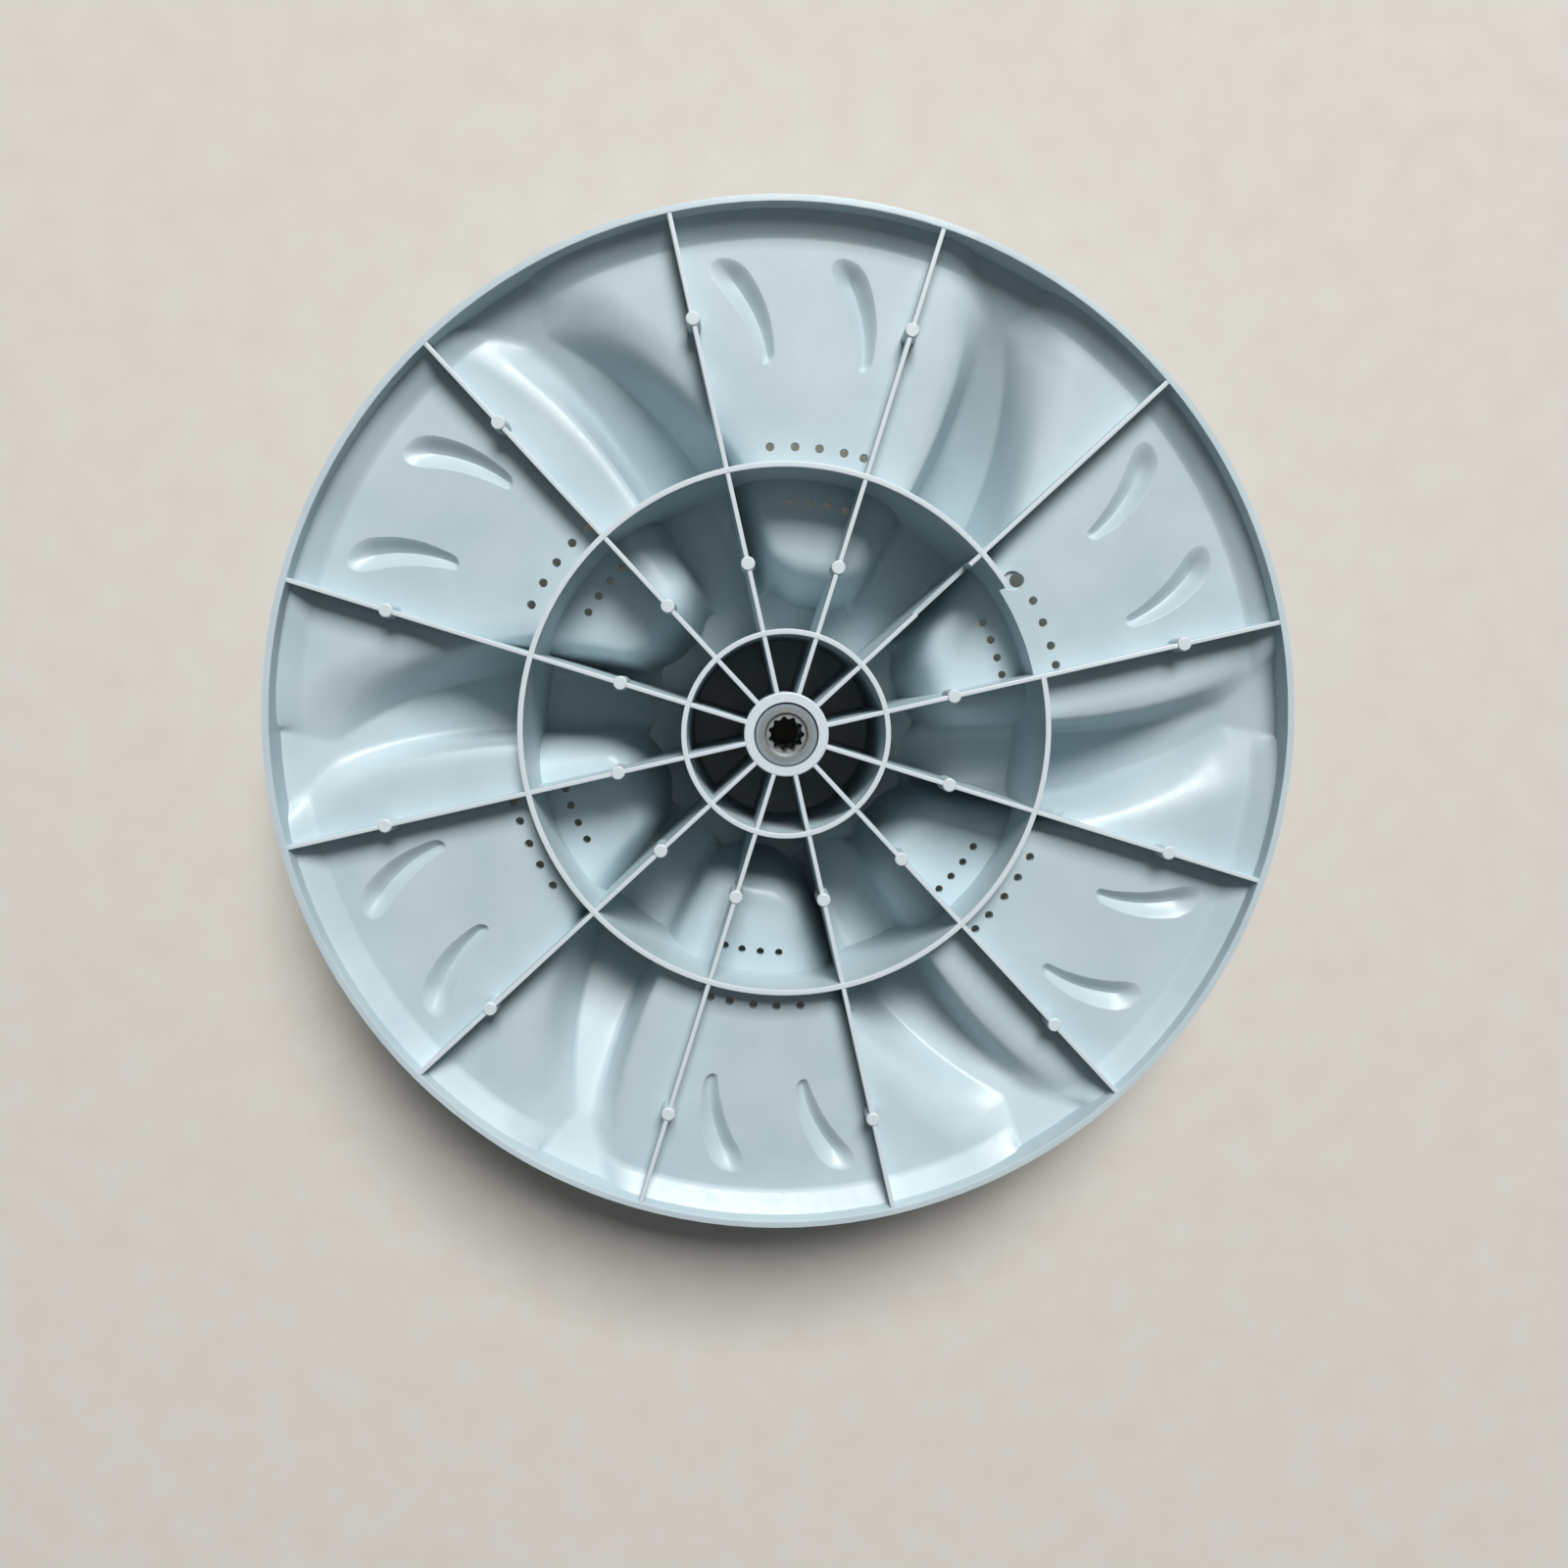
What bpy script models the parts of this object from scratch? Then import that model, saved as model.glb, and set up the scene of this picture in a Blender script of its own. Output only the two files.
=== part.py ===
"""Washing machine pulsator, lying with its ribbed underside up.

The part is one moulding with a metal splined bush in its hub. +Z points out of the ribbed side, the
washing side with its six vanes faces down, and the origin is under the centre, where the dome rests.
Depths are measured down from the plane of the ribs' edges. Angles run clockwise as seen from above,
as the vanes do, and each of the six vanes repeats every 60 degrees.
"""
import math

import bmesh
import bpy
from mathutils import Matrix, Vector

# Overall sizes
RIM_RADIUS = 0.1875
WALL = 0.0025
VANES = 6
PITCH = 360.0 / VANES
FIRST_RIB_AZIMUTH = 72.7

# Rim and land plates; the band is the plates' raised edge beside the rim
BAND_WIDTH = 0.0080
PLATE_DEPTH = 0.0095
BAND_DEPTH = 0.0080

# Ribs, rings and hub
RIB_THICKNESS = 0.0017
RIB_STEP_DOWN = 0.0002
LATTICE_SINK = 0.62
MID_RING_RADIUS = 0.0971
MID_RING_WALL = 0.0021
INNER_RING_RADIUS = 0.0382
INNER_RING_WALL = 0.0020
HUB_RADIUS = 0.01545
HUB_CHAMFER = 0.0006

# Vane: where its middle and its end facet are between its two ends, and the angles of its lines there
VANE_OVERLAP = 0.0005
VANE_CLEARANCE = 0.0004
MIDDLE_SHARE = 0.55
FACET_SHARE = 0.7432
RIDGE_ANGLES = (40.3, 38.2, 33.2)
LEAD_FLOOR_ANGLES = (43.0, 41.0, 34.4)
CREST_ANGLES = (63.2, 51.5, 43.4)
TRAIL_FLOOR_ANGLES = (57.0, 47.2, 42.3)
TRAIL_CORNER_ANGLE = 43.0
VANE_DEPTH = 0.0500
FACET_DEPTH = 0.0185
EDGE_ROLL = 0.0012
EDGE_SETBACK = 1.9

# Lobes between the mid ring and the dome: their reach, and the angles of their edges
LOBE_OVERLAP = 0.0006
LOBE_CLEARANCE = 0.0118
LOBE_ROUNDING = 0.0190
LOBE_MIDDLE_SHARE = 0.5614
LOBE_RIDGE_ANGLES = (39.8, 40.8, 40.0)
LOBE_LEAD_FLOOR_ANGLES = (43.0, 43.2, 43.6)
LOBE_TRAIL_FLOOR_ANGLES = (57.0, 61.0, 65.0)
LOBE_CREST_ANGLES = (61.8, 65.8, 68.6)
LOBE_LEAD_ROLL = 0.0085
LOBE_LEAD_SETBACK = 5.6
LOBE_TRAIL_ROLL = 0.0045
LOBE_TRAIL_SETBACK = 3.4
LOBE_DEPTH = 0.0245
LOBE_CORNER = 0.0050

# Dome and screw seat
DOME_RADIUS = 0.0280
DOME_DEPTH = 0.0634
INNER_FLOOR_DEPTH = 0.0610
CORE_RADIUS = 0.0080
SCREW_HOLE_RADIUS = 0.0056
SCREW_SEAT_RADIUS = 0.0105
SCREW_SEAT_DEPTH = 0.0260

# Metal bush
INSERT_RADIUS = 0.0115
INSERT_LENGTH = 0.0280
INSERT_RECESS = 0.0008
SPLINE_ROOT_RADIUS = 0.0066
SPLINE_TIP_RADIUS = 0.0057
SPLINE_TEETH = 11
FIT_GAP = 0.0003

# Drain holes: how far their rows lie outside and inside the mid ring
OUTER_HOLE_OFFSET = 0.0069
OUTER_HOLE_RADIUS = 0.0016
OUTER_HOLE_ANGLES = (9.6, 14.6, 19.5, 24.5, 28.6)
INNER_HOLE_OFFSET = 0.0101
INNER_HOLE_RADIUS = 0.0015
INNER_HOLE_ANGLES = (14.1, 18.9, 23.7, 28.2)

# Teardrop recesses in the land plates: distance from the band, and angle, of their tip and head
DROP_TIP = (0.0445, 10.1)
DROP_HEAD = (0.0115, 4.7)
DROP_PITCH = 14.9
DROP_BOW = 0.0024
DROP_WIDEST = 0.9
DROP_HEAD_LENGTH = 0.28
DROP_TAPER = 0.6
DROP_HALF_WIDTH = 0.0067
DROP_TIP_HALF_WIDTH = 0.0011
DROP_DEPTH = 0.0037

# Ejector pads on the ribs
PAD_RADIUS = 0.0026
PAD_HEIGHT = 0.0120
PAD_ROWS = (0.0627, 0.1490)

# The one land that differs: a gap in the mid ring and a wide hole beside it
GAP_SECTOR = 1
GAP_FROM_ANGLE = 8.2
GAP_TO_ANGLE = 29.6
WIDE_HOLE_RADIUS = 0.0037
WIDE_HOLE_OFFSET = 0.0047
GAP_FLOOR_CLEARANCE = 0.0001
RIB_RELIEF_DEPTH = 0.0090
RIB_RELIEF_OFFSET = 0.0071
RIB_RELIEF_LENGTH = 0.0260

# Mesh fineness
LAND_LINES = 4
OUTER_STATIONS = 7
RING_SIDES = 60
HOLE_SIDES = 6
FLAT_ANGLE = 0.6
SHARP_ANGLE = 20.0

# Values that follow from the sizes above
TOP = DOME_DEPTH + WALL
RIM_INNER_RADIUS = RIM_RADIUS - WALL
FOLD_RADIUS = RIM_INNER_RADIUS - BAND_WIDTH
VANE_START = MID_RING_RADIUS - VANE_OVERLAP
VANE_END = RIM_INNER_RADIUS - VANE_CLEARANCE
VANE_MIDDLE = VANE_START + MIDDLE_SHARE * (VANE_END - VANE_START)
FACET_RADIUS = VANE_START + FACET_SHARE * (VANE_END - VANE_START)
LOBE_START = MID_RING_RADIUS - MID_RING_WALL + LOBE_OVERLAP
LOBE_END = INNER_RING_RADIUS + LOBE_CLEARANCE
LOBE_MIDDLE = LOBE_START + LOBE_MIDDLE_SHARE * (LOBE_END - LOBE_START)
LOBE_ROUND_RADIUS = LOBE_END + LOBE_ROUNDING
PLASTIC = ("moulded_polypropylene", (0.52, 0.62, 0.67), 0.38, 0.0)
METAL = ("sintered_steel", (0.26, 0.27, 0.27), 0.55, 0.85)


def clear_scene():
    for obj in list(bpy.data.objects):
        bpy.data.objects.remove(obj, do_unlink=True)


def make_collection(name):
    collection = bpy.data.collections.new(name)
    bpy.context.scene.collection.children.link(collection)
    return collection


def make_material(name, colour, roughness, metallic):
    material = bpy.data.materials.new(name)
    material.use_nodes = True
    shader = material.node_tree.nodes["Principled BSDF"]
    shader.inputs["Base Color"].default_value = (*colour, 1.0)
    shader.inputs["Roughness"].default_value = roughness
    shader.inputs["Metallic"].default_value = metallic
    material.diffuse_color = (*colour, 1.0)
    return material


def mesh_object(name, bm, collection):
    mesh = bpy.data.meshes.new(name)
    bm.to_mesh(mesh)
    bm.free()
    obj = bpy.data.objects.new(name, mesh)
    collection.objects.link(obj)
    return obj


def applied(name, source, collection):
    """The source object with its modifiers applied, welded, with its faces pointing out."""
    graph = bpy.context.evaluated_depsgraph_get()
    mesh = bpy.data.meshes.new_from_object(source.evaluated_get(graph))
    bm = bmesh.new()
    bm.from_mesh(mesh)
    bpy.data.meshes.remove(mesh)
    bmesh.ops.remove_doubles(bm, verts=bm.verts[:], dist=0.000001)
    bmesh.ops.recalc_face_normals(bm, faces=bm.faces[:])
    bpy.data.objects.remove(source, do_unlink=True)
    return mesh_object(name, bm, collection)


def hide_tool(obj):
    obj.hide_render = True
    obj.display_type = "WIRE"
    return obj


def at(radius, angle, depth):
    """Place of a point given by radius, clockwise angle from the first rib and depth below the ribs."""
    azimuth = math.radians(FIRST_RIB_AZIMUTH + 30.0 - angle)
    return Vector((radius * math.cos(azimuth), radius * math.sin(azimuth), TOP - depth))


def bend(x, places, values):
    """Smooth curve through three points."""
    a, b, c = places
    first = (values[1] - values[0]) / (b - a)
    second = (values[2] - values[1]) / (c - b)
    turn = (second - first) / (c - a)
    return values[0] + first * (x - a) + turn * (x - a) * (x - b)


def ease(fraction):
    fraction = min(max(fraction, 0.0), 1.0)
    return fraction * fraction * (3.0 - 2.0 * fraction)


def mix(a, b, fraction):
    return a + (b - a) * fraction


def vane_lines(radius):
    """Angles of the lines that run along a vane: its ridge, both floor edges and its crest."""
    if radius > LOBE_START:
        places = (VANE_START, VANE_MIDDLE, VANE_END)
        reach = min(radius, VANE_END)
        facet_places = (VANE_START, VANE_MIDDLE, FACET_RADIUS)
        trail = bend(min(reach, FACET_RADIUS), facet_places, TRAIL_FLOOR_ANGLES)
        if reach > FACET_RADIUS:
            past = (reach - FACET_RADIUS) / (VANE_END - FACET_RADIUS)
            trail = mix(TRAIL_FLOOR_ANGLES[2], TRAIL_CORNER_ANGLE, past)
        ridge = bend(reach, places, RIDGE_ANGLES)
        lead = bend(reach, places, LEAD_FLOOR_ANGLES)
        crest = bend(reach, places, CREST_ANGLES)
        return ridge, lead, trail, crest
    places = (LOBE_START, LOBE_MIDDLE, LOBE_END)
    reach = max(radius, LOBE_END)
    ridge = bend(reach, places, LOBE_RIDGE_ANGLES)
    lead = bend(reach, places, LOBE_LEAD_FLOOR_ANGLES)
    trail = bend(reach, places, LOBE_TRAIL_FLOOR_ANGLES)
    crest = bend(reach, places, LOBE_CREST_ANGLES)
    return ridge, lead, trail, crest


def land_depth(radius):
    """Depth of the land plate and of the lobe inside the mid ring."""
    if radius > FOLD_RADIUS:
        return mix(PLATE_DEPTH, BAND_DEPTH, (radius - FOLD_RADIUS) / (RIM_INNER_RADIUS - FOLD_RADIUS))
    if radius > LOBE_START:
        return PLATE_DEPTH
    fall = (LOBE_ROUND_RADIUS - radius) / (LOBE_ROUND_RADIUS - LOBE_END)
    return mix(LOBE_DEPTH, floor_depth(radius), min(max(fall, 0.0), 1.0) ** 3)


def lobe_shift(radius, across):
    """How far out a row of points is moved at the sides of a lobe, which rounds the lobe's end."""
    from_ring = (LOBE_START - radius) / (LOBE_START - LOBE_ROUND_RADIUS)
    from_dome = (radius - INNER_RING_RADIUS) / (LOBE_END - INNER_RING_RADIUS)
    share = min(max(min(from_ring, from_dome), 0.0), 1.0)
    return LOBE_CORNER * share * across ** 4


def floor_depth(radius):
    """Depth along the bottom of a vane, from the rim to the dome."""
    if radius >= VANE_END:
        return land_depth(radius)
    if radius > FACET_RADIUS:
        past = (radius - FACET_RADIUS) / (VANE_END - FACET_RADIUS)
        return mix(FACET_DEPTH, land_depth(VANE_END), past)
    if radius > LOBE_START:
        past = (radius - VANE_START) / (FACET_RADIUS - VANE_START)
        return mix(VANE_DEPTH, FACET_DEPTH, past)
    if radius > LOBE_END:
        return mix(INNER_FLOOR_DEPTH, VANE_DEPTH, (radius - LOBE_END) / (LOBE_START - LOBE_END))
    return mix(DOME_DEPTH, INNER_FLOOR_DEPTH, ease((radius - DOME_RADIUS) / (LOBE_END - DOME_RADIUS)))


def section(radius):
    """One 60 degree section of the moulding's inner face: angle, depth and shift of each point."""
    ridge, lead, trail, crest = vane_lines(radius)
    floor = floor_depth(radius)
    shoulder = land_depth(radius)
    lead_roll, trail_roll = EDGE_ROLL, EDGE_ROLL
    lead_setback, trail_setback = EDGE_SETBACK, EDGE_SETBACK
    if radius <= LOBE_START:
        lead_roll, trail_roll = LOBE_LEAD_ROLL, LOBE_TRAIL_ROLL
        lead_setback, trail_setback = LOBE_LEAD_SETBACK, LOBE_TRAIL_SETBACK
    height = floor - shoulder
    first = crest - PITCH
    side = lobe_shift(radius, 1.0)
    points = [(first, shoulder + min(trail_roll, 0.4 * height), side)]
    steps = LAND_LINES + 1
    for i in range(steps + 1):
        fraction = i / steps
        angle = mix(first + trail_setback, ridge - lead_setback, fraction)
        points.append((angle, shoulder, lobe_shift(radius, 2.0 * fraction - 1.0)))
    points.append((ridge, shoulder + min(lead_roll, 0.4 * height), side))
    points.append((lead, floor, 0.0))
    points.append((mix(lead, trail, 0.5), floor, 0.0))
    points.append((trail, floor, 0.0))
    return points


def stations():
    """Radii at which the inner face is drawn, from the rim to the core of the hub."""
    radii = sorted((VANE_END, FOLD_RADIUS, mix(FOLD_RADIUS, FACET_RADIUS, 0.5), FACET_RADIUS), reverse=True)
    spread = OUTER_STATIONS - 2
    radii += [mix(FACET_RADIUS, VANE_START, (i + 1) / spread) for i in range(spread)]
    radii += [LOBE_START]
    radii += [mix(LOBE_START, LOBE_ROUND_RADIUS, i / 2.0) for i in (1, 2)]
    radii += [mix(LOBE_ROUND_RADIUS, LOBE_END, share) for share in (0.3, 0.55, 0.75, 0.9, 1.0)]
    radii += [INNER_RING_RADIUS - INNER_RING_WALL / 2.0, DOME_RADIUS, CORE_RADIUS]
    return radii


def inner_face(bm):
    """The moulding's inner face as an open sheet whose faces look into the ribbed side."""
    rows = []
    near_edge = []
    for vane in range(VANES):
        for angle, depth, shift in section(RIM_INNER_RADIUS):
            near_edge.append(bm.verts.new(at(RIM_INNER_RADIUS, angle + PITCH * vane, 0.0)))
    rows.append(near_edge)
    for radius in stations():
        row = []
        for vane in range(VANES):
            for angle, depth, shift in section(radius):
                row.append(bm.verts.new(at(radius + shift, angle + PITCH * vane, depth)))
        rows.append(row)
    count = len(near_edge)
    for outer, inner in zip(rows, rows[1:]):
        for i in range(count):
            j = (i + 1) % count
            bm.faces.new((outer[i], outer[j], inner[j], inner[i]))
    bm.normal_update()
    if rows[-1][0].link_faces[0].normal.z < 0.0:
        bmesh.ops.reverse_faces(bm, faces=bm.faces[:])
    return rows


def make_shell(collection):
    bm = bmesh.new()
    inner_face(bm)
    bmesh.ops.triangulate(bm, faces=bm.faces[:], quad_method="SHORT_EDGE")
    shell = mesh_object("shell_sheet", bm, collection)
    wall = shell.modifiers.new("wall", "SOLIDIFY")
    wall.thickness = WALL
    wall.offset = -1.0
    wall.use_even_offset = True
    wall.use_quality_normals = True
    return applied("pulsator_body", shell, collection)


def make_cavity(collection):
    """The space over the inner face and a part of its wall, which trims the ribs and rings to the shell."""
    bm = bmesh.new()
    rows = inner_face(bm)
    bm.normal_update()
    for vert in bm.verts:
        vert.co -= vert.normal * (WALL * LATTICE_SINK)
    top = [bm.verts.new((v.co.x, v.co.y, TOP + WALL)) for v in rows[0]]
    count = len(top)
    for i in range(count):
        j = (i + 1) % count
        bm.faces.new((top[i], top[j], rows[0][j], rows[0][i]))
    bm.faces.new(top)
    bm.faces.new(rows[-1])
    bmesh.ops.recalc_face_normals(bm, faces=bm.faces[:])
    return hide_tool(mesh_object("cavity", bm, collection))


def turned(name, profile, sides, collection):
    """A profile of (radius, depth) points turned about the centre line; off the axis it is closed."""
    bm = bmesh.new()
    verts = [bm.verts.new((r, 0.0, TOP - depth)) for r, depth in profile]
    for a, b in zip(verts, verts[1:]):
        bm.edges.new((a, b))
    if profile[0][0] > 0.0:
        bm.edges.new((verts[-1], verts[0]))
    obj = mesh_object("profile", bm, collection)
    screw = obj.modifiers.new("turn", "SCREW")
    screw.axis = "Z"
    screw.steps = sides
    screw.render_steps = sides
    screw.use_merge_vertices = True
    screw.merge_threshold = 0.00001
    return hide_tool(applied(name, obj, collection))


def slab(bm, inner, outer, angle, half_width, high, low):
    """An upright slab along a radius, from depth high down to depth low."""
    bottom = bmesh.ops.create_cube(bm, size=1.0)["verts"]
    middle = at((inner + outer) / 2.0, angle, (high + low) / 2.0)
    turn = Matrix.Rotation(math.atan2(middle.y, middle.x), 4, "Z")
    size = Matrix.Diagonal((outer - inner, 2.0 * half_width, low - high, 1.0))
    bmesh.ops.transform(bm, matrix=Matrix.Translation(middle) @ turn @ size, verts=bottom)


def post(bm, radius, angle, post_radius, high, low, sides):
    """An upright cylinder from depth high down to depth low."""
    middle = at(radius, angle, (high + low) / 2.0)
    turn = Matrix.Rotation(math.atan2(middle.y, middle.x), 4, "Z")
    bmesh.ops.create_cone(bm, cap_ends=True, segments=sides, radius1=post_radius, radius2=post_radius,
                          depth=low - high, matrix=Matrix.Translation(middle) @ turn)


def boolean(obj, operation, other):
    modifier = obj.modifiers.new(other.name, "BOOLEAN")
    modifier.operation = operation
    modifier.solver = "EXACT"
    modifier.object = other


def make_lattice(tools):
    """Rings, ribs, hub and ejector pads, trimmed to the shell."""
    through = TOP + WALL
    bm = bmesh.new()
    for i in range(2 * VANES):
        angle = 30.0 * i
        slab(bm, HUB_RADIUS / 2.0, RIM_INNER_RADIUS + WALL * 0.4, angle, RIB_THICKNESS / 2.0,
             RIB_STEP_DOWN, through)
    ribs = hide_tool(mesh_object("ribs", bm, tools))

    relief = bmesh.new()
    relief_end = MID_RING_RADIUS - RIB_RELIEF_OFFSET
    slab(relief, relief_end - RIB_RELIEF_LENGTH, relief_end, PITCH * GAP_SECTOR, RIB_THICKNESS, -WALL,
         RIB_RELIEF_DEPTH)
    boolean(ribs, "DIFFERENCE", hide_tool(mesh_object("rib_relief", relief, tools)))

    mid_ring = turned("mid_ring", [(MID_RING_RADIUS, 0.0), (MID_RING_RADIUS, through),
                                   (MID_RING_RADIUS - MID_RING_WALL, through),
                                   (MID_RING_RADIUS - MID_RING_WALL, 0.0)], RING_SIDES, tools)
    gap = bmesh.new()
    middle = (GAP_FROM_ANGLE + GAP_TO_ANGLE) / 2.0
    half_angle = math.radians(GAP_TO_ANGLE - GAP_FROM_ANGLE) / 2.0
    slab(gap, MID_RING_RADIUS * 0.9, MID_RING_RADIUS * 1.05, PITCH * GAP_SECTOR + middle,
         MID_RING_RADIUS * math.sin(half_angle), -WALL, PLATE_DEPTH - GAP_FLOOR_CLEARANCE)
    boolean(mid_ring, "DIFFERENCE", hide_tool(mesh_object("ring_gap", gap, tools)))

    inner_ring = turned("inner_ring", [(INNER_RING_RADIUS, 0.0), (INNER_RING_RADIUS, through),
                                       (INNER_RING_RADIUS - INNER_RING_WALL, through),
                                       (INNER_RING_RADIUS - INNER_RING_WALL, 0.0)],
                        RING_SIDES // 2, tools)
    hub = turned("hub", [(0.0, 0.0), (HUB_RADIUS - HUB_CHAMFER, 0.0), (HUB_RADIUS, HUB_CHAMFER),
                         (HUB_RADIUS, through), (0.0, through)], RING_SIDES // 2, tools)
    pads = bmesh.new()
    for i in range(2 * VANES):
        if i == 2 * GAP_SECTOR:
            continue
        for radius in PAD_ROWS:
            post(pads, radius, 30.0 * i, PAD_RADIUS, -RIB_STEP_DOWN, PAD_HEIGHT, HOLE_SIDES)
    pad_posts = hide_tool(mesh_object("ejector_pads", pads, tools))

    boolean(hub, "UNION", ribs)
    boolean(hub, "UNION", mid_ring)
    boolean(hub, "UNION", inner_ring)
    boolean(hub, "UNION", pad_posts)
    boolean(hub, "INTERSECT", make_cavity(tools))
    return hide_tool(applied("lattice", hub, tools))


def drop_line(fraction, angle):
    """Middle line of a teardrop, bowed between its tip and its head."""
    tip = at(FOLD_RADIUS - DROP_TIP[0], DROP_TIP[1] + angle, PLATE_DEPTH)
    head = at(FOLD_RADIUS - DROP_HEAD[0], DROP_HEAD[1] + angle, PLATE_DEPTH)
    along = (head - tip).normalized()
    across = Vector((along.y, -along.x, 0.0))
    return tip.lerp(head, fraction) + across * (DROP_BOW * 4.0 * fraction * (1.0 - fraction))


def teardrop(name, angle, offset, tools):
    """A swept tube whose lower side is the hollow of one teardrop, or its outer skin if offset."""
    curve = bpy.data.curves.new(name, "CURVE")
    curve.dimensions = "3D"
    curve.fill_mode = "FULL"
    curve.bevel_depth = 1.0
    curve.bevel_resolution = 2
    curve.use_fill_caps = True
    steps = [DROP_WIDEST * i / 3.0 for i in range(4)]
    steps += [DROP_WIDEST + DROP_HEAD_LENGTH * share for share in (0.64, 0.96)]
    spline = curve.splines.new("POLY")
    spline.points.add(len(steps) - 1)
    for point, fraction in zip(spline.points, steps):
        taper = min(fraction / DROP_WIDEST, 1.0) ** DROP_TAPER
        width = mix(DROP_TIP_HALF_WIDTH, DROP_HALF_WIDTH, taper)
        if fraction > DROP_WIDEST:
            width *= math.sqrt(1.0 - ((fraction - DROP_WIDEST) / DROP_HEAD_LENGTH) ** 2)
        depth = DROP_DEPTH * width / DROP_HALF_WIDTH
        tube = (width * width + depth * depth) / (2.0 * depth)
        place = drop_line(fraction, angle)
        point.co = (place.x, place.y, place.z + tube - depth, 1.0)
        point.radius = tube + offset
    obj = bpy.data.objects.new(name, curve)
    tools.objects.link(obj)
    return applied(name, obj, tools)


def make_teardrops(tools):
    """All hollows as one cutter, and all their outer skins as one piece to join to the plates."""
    hollows = bmesh.new()
    skins = bmesh.new()
    mid_wall = Vector((0.0, 0.0, TOP - PLATE_DEPTH - WALL * 0.5))
    for i in range(VANES):
        for j in range(2):
            angle = PITCH * i + DROP_PITCH * j
            hollow = teardrop("hollow", angle, 0.0, tools)
            hollows.from_mesh(hollow.data)
            bpy.data.objects.remove(hollow, do_unlink=True)
            skin = teardrop("skin", angle, WALL, tools)
            skins.from_mesh(skin.data)
            bpy.data.objects.remove(skin, do_unlink=True)
    geometry = skins.verts[:] + skins.edges[:] + skins.faces[:]
    cut = bmesh.ops.bisect_plane(skins, geom=geometry, dist=0.0000001, plane_co=mid_wall,
                                 plane_no=(0.0, 0.0, 1.0), clear_outer=True)
    edges = [e for e in cut["geom_cut"] if isinstance(e, bmesh.types.BMEdge)]
    bmesh.ops.holes_fill(skins, edges=edges)
    bmesh.ops.recalc_face_normals(skins, faces=skins.faces[:])
    hollow_cutter = hide_tool(mesh_object("teardrop_hollows", hollows, tools))
    skin_piece = hide_tool(mesh_object("teardrop_skins", skins, tools))
    return hollow_cutter, skin_piece


def make_holes(tools):
    """Both rows of drain holes in every land, and the one wide hole."""
    bm = bmesh.new()
    reach = WALL * 1.5
    for i in range(VANES):
        for j, angle in enumerate(OUTER_HOLE_ANGLES):
            radius, size = MID_RING_RADIUS + OUTER_HOLE_OFFSET, OUTER_HOLE_RADIUS
            if i == GAP_SECTOR and j == 0:
                radius, size = MID_RING_RADIUS + WIDE_HOLE_OFFSET, WIDE_HOLE_RADIUS
            post(bm, radius, PITCH * i + angle, size, PLATE_DEPTH - reach, PLATE_DEPTH + WALL + reach,
                 HOLE_SIDES)
        for angle in INNER_HOLE_ANGLES:
            post(bm, MID_RING_RADIUS - INNER_HOLE_OFFSET, PITCH * i + angle, INNER_HOLE_RADIUS,
                 LOBE_DEPTH - reach, LOBE_DEPTH + WALL + reach, HOLE_SIDES)
    return hide_tool(mesh_object("drain_holes", bm, tools))


def make_hub_bore(tools):
    """Seat of the metal bush, screw hole and the screw's pocket on the washing side."""
    seat_end = INSERT_RECESS + INSERT_LENGTH + FIT_GAP
    pocket_end = TOP - SCREW_SEAT_DEPTH
    seat = INSERT_RADIUS + FIT_GAP
    profile = [(0.0, -WALL), (seat, -WALL), (seat, seat_end), (SCREW_HOLE_RADIUS, seat_end),
               (SCREW_HOLE_RADIUS, pocket_end), (SCREW_SEAT_RADIUS, pocket_end),
               (SCREW_SEAT_RADIUS, TOP + WALL), (0.0, TOP + WALL)]
    return turned("hub_bore", profile, RING_SIDES // 2, tools)


def make_body(parts, tools, material):
    body = make_shell(parts)
    hollows, skins = make_teardrops(tools)
    boolean(body, "UNION", skins)
    boolean(body, "UNION", make_lattice(tools))
    boolean(body, "DIFFERENCE", hollows)
    boolean(body, "DIFFERENCE", make_holes(tools))
    boolean(body, "DIFFERENCE", make_hub_bore(tools))
    flat = body.modifiers.new("merge_flat_faces", "DECIMATE")
    flat.decimate_type = "DISSOLVE"
    flat.angle_limit = math.radians(FLAT_ANGLE)
    body = applied("pulsator_body", body, parts)
    body.data.shade_smooth()
    body.data.set_sharp_from_angle(angle=math.radians(SHARP_ANGLE))
    body.data.materials.append(material)
    return body


def add_outline(curve, points):
    spline = curve.splines.new("POLY")
    spline.points.add(len(points) - 1)
    for point, (x, y) in zip(spline.points, points):
        point.co = (x, y, 0.0, 1.0)
    spline.use_cyclic_u = True


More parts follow.
